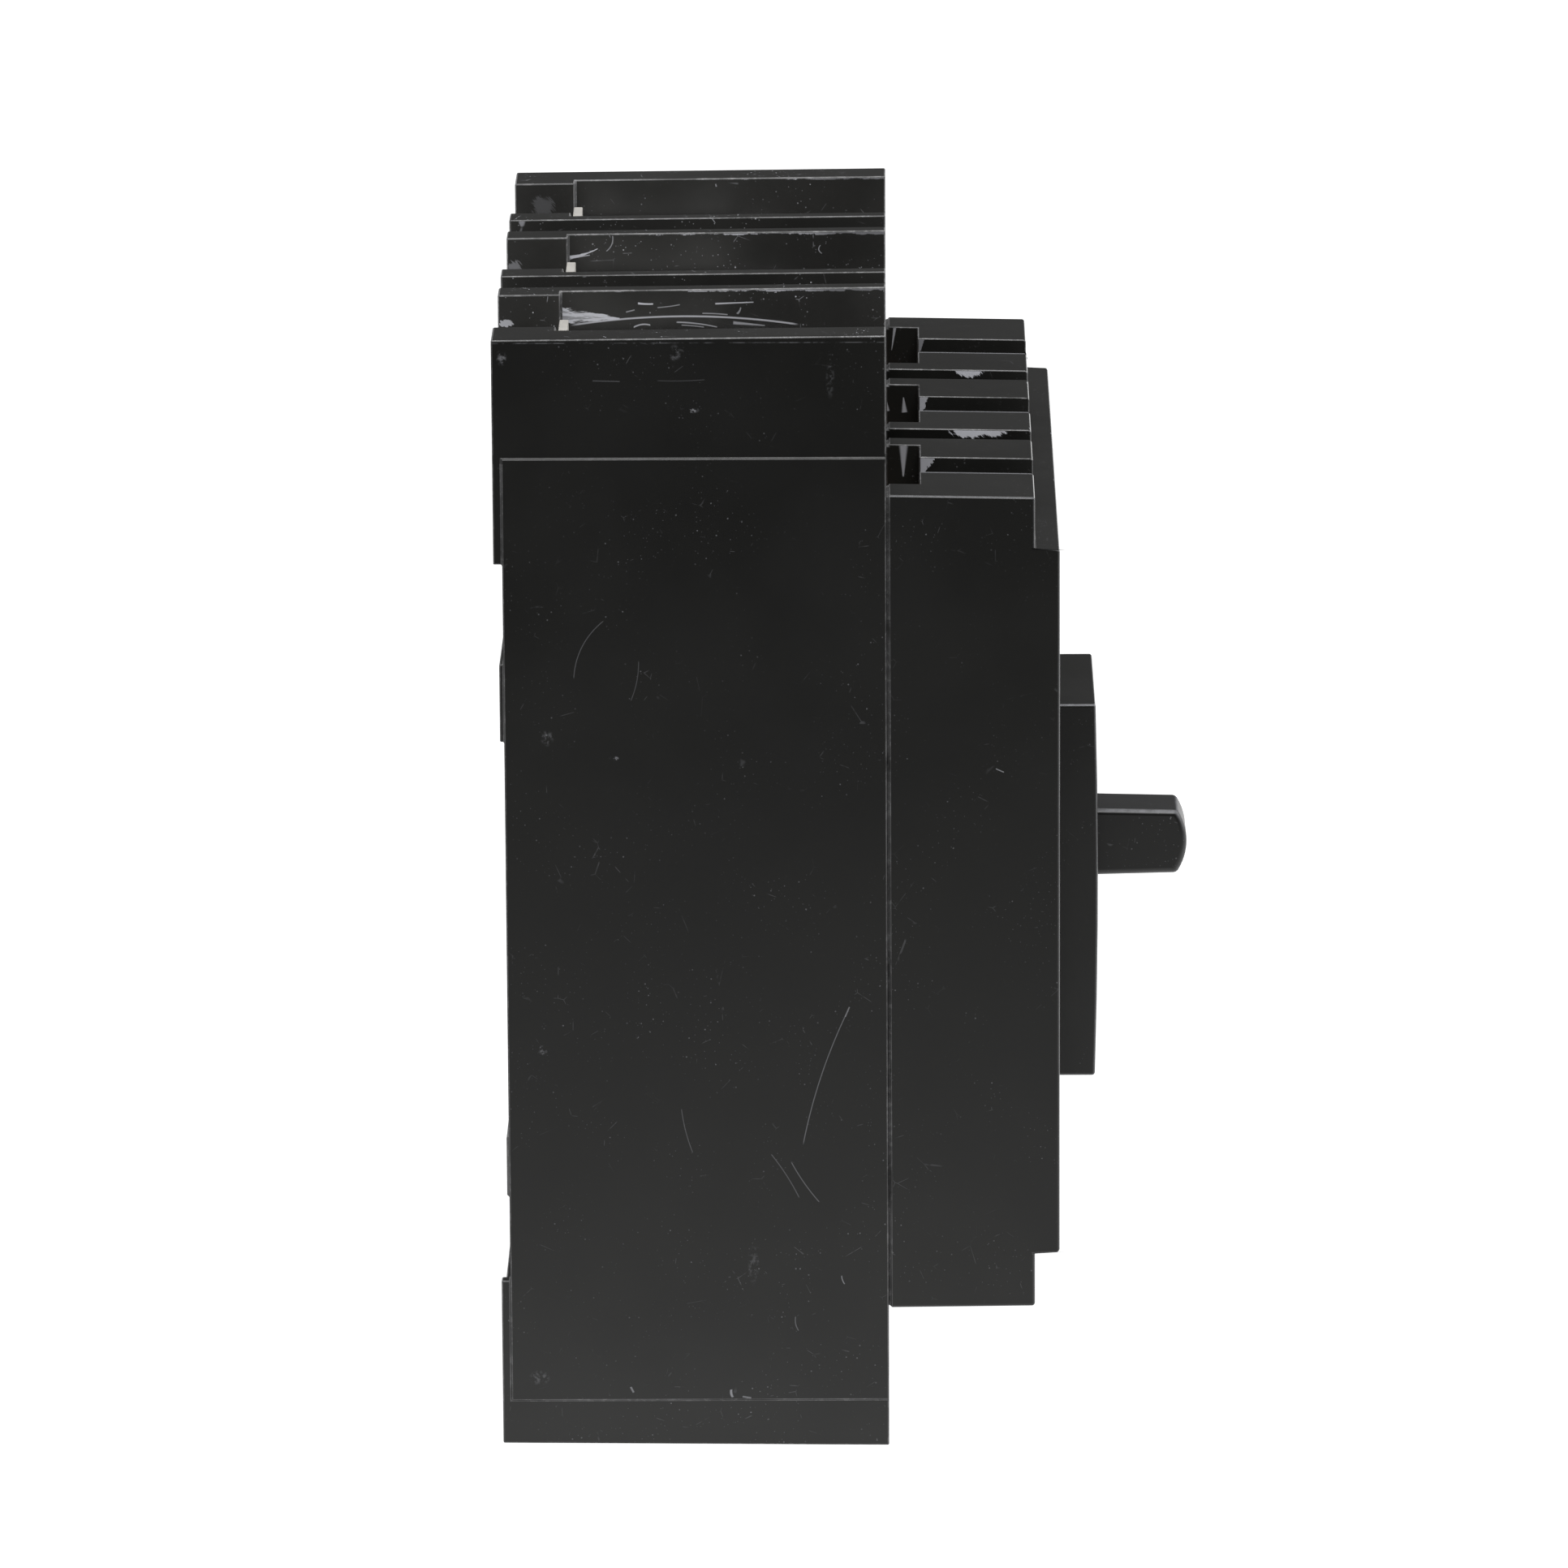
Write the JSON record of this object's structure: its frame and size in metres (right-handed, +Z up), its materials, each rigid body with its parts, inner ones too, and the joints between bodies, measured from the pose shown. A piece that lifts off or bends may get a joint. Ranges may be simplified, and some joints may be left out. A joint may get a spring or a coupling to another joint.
{
  "type": "molded case breaker",
  "caption": "Three-pole molded case circuit breaker with a front toggle handle, open terminal bays with wire lugs, and a trip mechanism inside.",
  "frame": {"origin": "middle of the flat back that goes against the panel, centred on the four mounting holes", "axes": "+X across the poles to the right seen from the front, -Y out of the front where the handle is, +Z up towards the line end"},
  "size_m": [0.1142, 0.093, 0.1524],
  "materials": {
    "moulding": "semi-gloss moulded thermoset, black, lightly worn",
    "insulator": "matt moulded thermoset, dark brown",
    "button_plastic": "satin plastic",
    "fibre": "vulcanised fibre",
    "steel": "zinc-plated, satin",
    "screw_steel": "zinc-plated, bright",
    "copper": "bare copper, slightly dull",
    "tinned_copper": "tin-plated, dull",
    "silver": "silver alloy, satin",
    "bimetal": "rolled strip, satin",
    "lug_aluminium": "extruded and machined, dull",
    "label_metal": "thin etched plate, blank"
  },
  "bodies": {
    "housing": {"base": "moulding", "cover": "moulding", "vent_screens": "fibre", "chute_walls_left": "fibre", "chute_walls_centre": "fibre", "chute_walls_right": "fibre", "side_frame_left": "steel", "side_frame_right": "steel", "handle_studs": "steel", "cradle_pin": "steel", "magnet_yokes": "steel", "button_spring": "steel", "arc_plates_left": "steel", "arc_plates_centre": "steel", "arc_plates_right": "steel", "cover_screws": "screw_steel", "tang_screws": "screw_steel", "calibration_screws": "screw_steel", "braids": "copper", "line_conductor_left": "tinned_copper", "line_conductor_centre": "tinned_copper", "line_conductor_right": "tinned_copper", "load_conductor_left": "tinned_copper", "load_conductor_centre": "tinned_copper", "load_conductor_right": "tinned_copper", "fixed_tips": "silver", "bimetals": "bimetal", "line_lug_left": "lug_aluminium", "line_lug_centre": "lug_aluminium", "line_lug_right": "lug_aluminium", "load_lug_left": "lug_aluminium", "load_lug_centre": "lug_aluminium", "load_lug_right": "lug_aluminium", "rating_label": "label_metal"},
    "handle": {"handle": "moulding", "handle_yoke": "steel", "main_springs": "steel"},
    "contact_carrier": {"cross_bar": "insulator", "lower_link_pin": "steel", "contact_arm_left": "copper", "contact_arm_centre": "copper", "contact_arm_right": "copper", "moving_tips": "silver"},
    "cradle": {"cradle": "steel", "upper_link_pin": "steel"},
    "upper_link": {"upper_links": "steel", "knee_pin": "steel"},
    "lower_link": {"lower_links": "steel"},
    "trip_bar": {"trip_bar": "insulator", "latch": "steel"},
    "trip_button": {"trip_button": "button_plastic"},
    "armature_left": {"armature_left": "steel"},
    "armature_centre": {"armature_centre": "steel"},
    "armature_right": {"armature_right": "steel"},
    "line_binding_screw_left": {"line_binding_screw_left": "screw_steel"},
    "line_binding_screw_centre": {"line_binding_screw_centre": "screw_steel"},
    "line_binding_screw_right": {"line_binding_screw_right": "screw_steel"},
    "load_binding_screw_left": {"load_binding_screw_left": "screw_steel"},
    "load_binding_screw_centre": {"load_binding_screw_centre": "screw_steel"},
    "load_binding_screw_right": {"load_binding_screw_right": "screw_steel"}
  },
  "joints": [
    {"name": "handle_tilt", "type": "hinge", "parent": "housing", "child": "handle", "pos_m": [0, -0.046, -0.006], "axis": [-1, 0, 0], "range_deg": [-18, 18], "deforming": ["main_springs"]},
    {"name": "contact_swing", "type": "hinge", "parent": "housing", "child": "contact_carrier", "pos_m": [0, -0.028, -0.008], "axis": [-1, 0, 0], "range_deg": [-17, 17], "deforming": ["braids"]},
    {"name": "cradle_release", "type": "hinge", "parent": "housing", "child": "cradle", "pos_m": [0, -0.05, 0.009], "axis": [-1, 0, 0], "range_deg": [0, 4]},
    {"name": "upper_link_swing", "type": "hinge", "parent": "cradle", "child": "upper_link", "pos_m": [0, -0.054, -0.002], "axis": [-1, 0, 0], "range_deg": [-14.25, 14.25]},
    {"name": "lower_link_swing", "type": "hinge", "parent": "contact_carrier", "child": "lower_link", "pos_m": [0, -0.03703, -0.0024], "axis": [-1, 0, 0], "range_deg": [-20.55, 20.55]},
    {"name": "button_press", "type": "slide", "parent": "housing", "child": "trip_button", "axis": [0, 1, 0], "range_m": [0, 0.0015], "stiffness_N_per_m": 600, "deforming": ["button_spring"]},
    {"name": "trip_bar_turn", "type": "hinge", "parent": "housing", "child": "trip_bar", "pos_m": [0, -0.04, -0.033], "axis": [1, 0, 0], "range_deg": [0, 12]},
    {"name": "armature_pull_left", "type": "hinge", "parent": "housing", "child": "armature_left", "pos_m": [-0.0381, -0.0115, -0.036], "axis": [-1, 0, 0], "range_deg": [0, 5], "stiffness_Nm_per_rad": 0.02},
    {"name": "armature_pull_centre", "type": "hinge", "parent": "housing", "child": "armature_centre", "pos_m": [0, -0.0115, -0.036], "axis": [-1, 0, 0], "range_deg": [0, 5], "stiffness_Nm_per_rad": 0.02},
    {"name": "armature_pull_right", "type": "hinge", "parent": "housing", "child": "armature_right", "pos_m": [0.0381, -0.0115, -0.036], "axis": [-1, 0, 0], "range_deg": [0, 5], "stiffness_Nm_per_rad": 0.02},
    {"name": "line_screw_travel_left", "type": "slide", "parent": "housing", "child": "line_binding_screw_left", "axis": [0, 1, 0], "range_m": [-0.003, 0.008]},
    {"name": "line_screw_travel_centre", "type": "slide", "parent": "housing", "child": "line_binding_screw_centre", "axis": [0, 1, 0], "range_m": [-0.003, 0.008]},
    {"name": "line_screw_travel_right", "type": "slide", "parent": "housing", "child": "line_binding_screw_right", "axis": [0, 1, 0], "range_m": [-0.003, 0.008]},
    {"name": "load_screw_travel_left", "type": "slide", "parent": "housing", "child": "load_binding_screw_left", "axis": [0, 1, 0], "range_m": [-0.003, 0.008]},
    {"name": "load_screw_travel_centre", "type": "slide", "parent": "housing", "child": "load_binding_screw_centre", "axis": [0, 1, 0], "range_m": [-0.003, 0.008]},
    {"name": "load_screw_travel_right", "type": "slide", "parent": "housing", "child": "load_binding_screw_right", "axis": [0, 1, 0], "range_m": [-0.003, 0.008]}
  ],
  "couplings": [
    {"joint": "contact_swing", "follows": "handle_tilt", "ratio": 0.94444},
    {"joint": "upper_link_swing", "follows": "handle_tilt", "ratio": -0.79167},
    {"joint": "lower_link_swing", "follows": "handle_tilt", "ratio": -1.1417},
    {"joint": "trip_bar_turn", "follows": "button_press", "rad_per_m": 139.62},
    {"joint": "cradle_release", "follows": "button_press", "rad_per_m": 46.541}
  ]
}
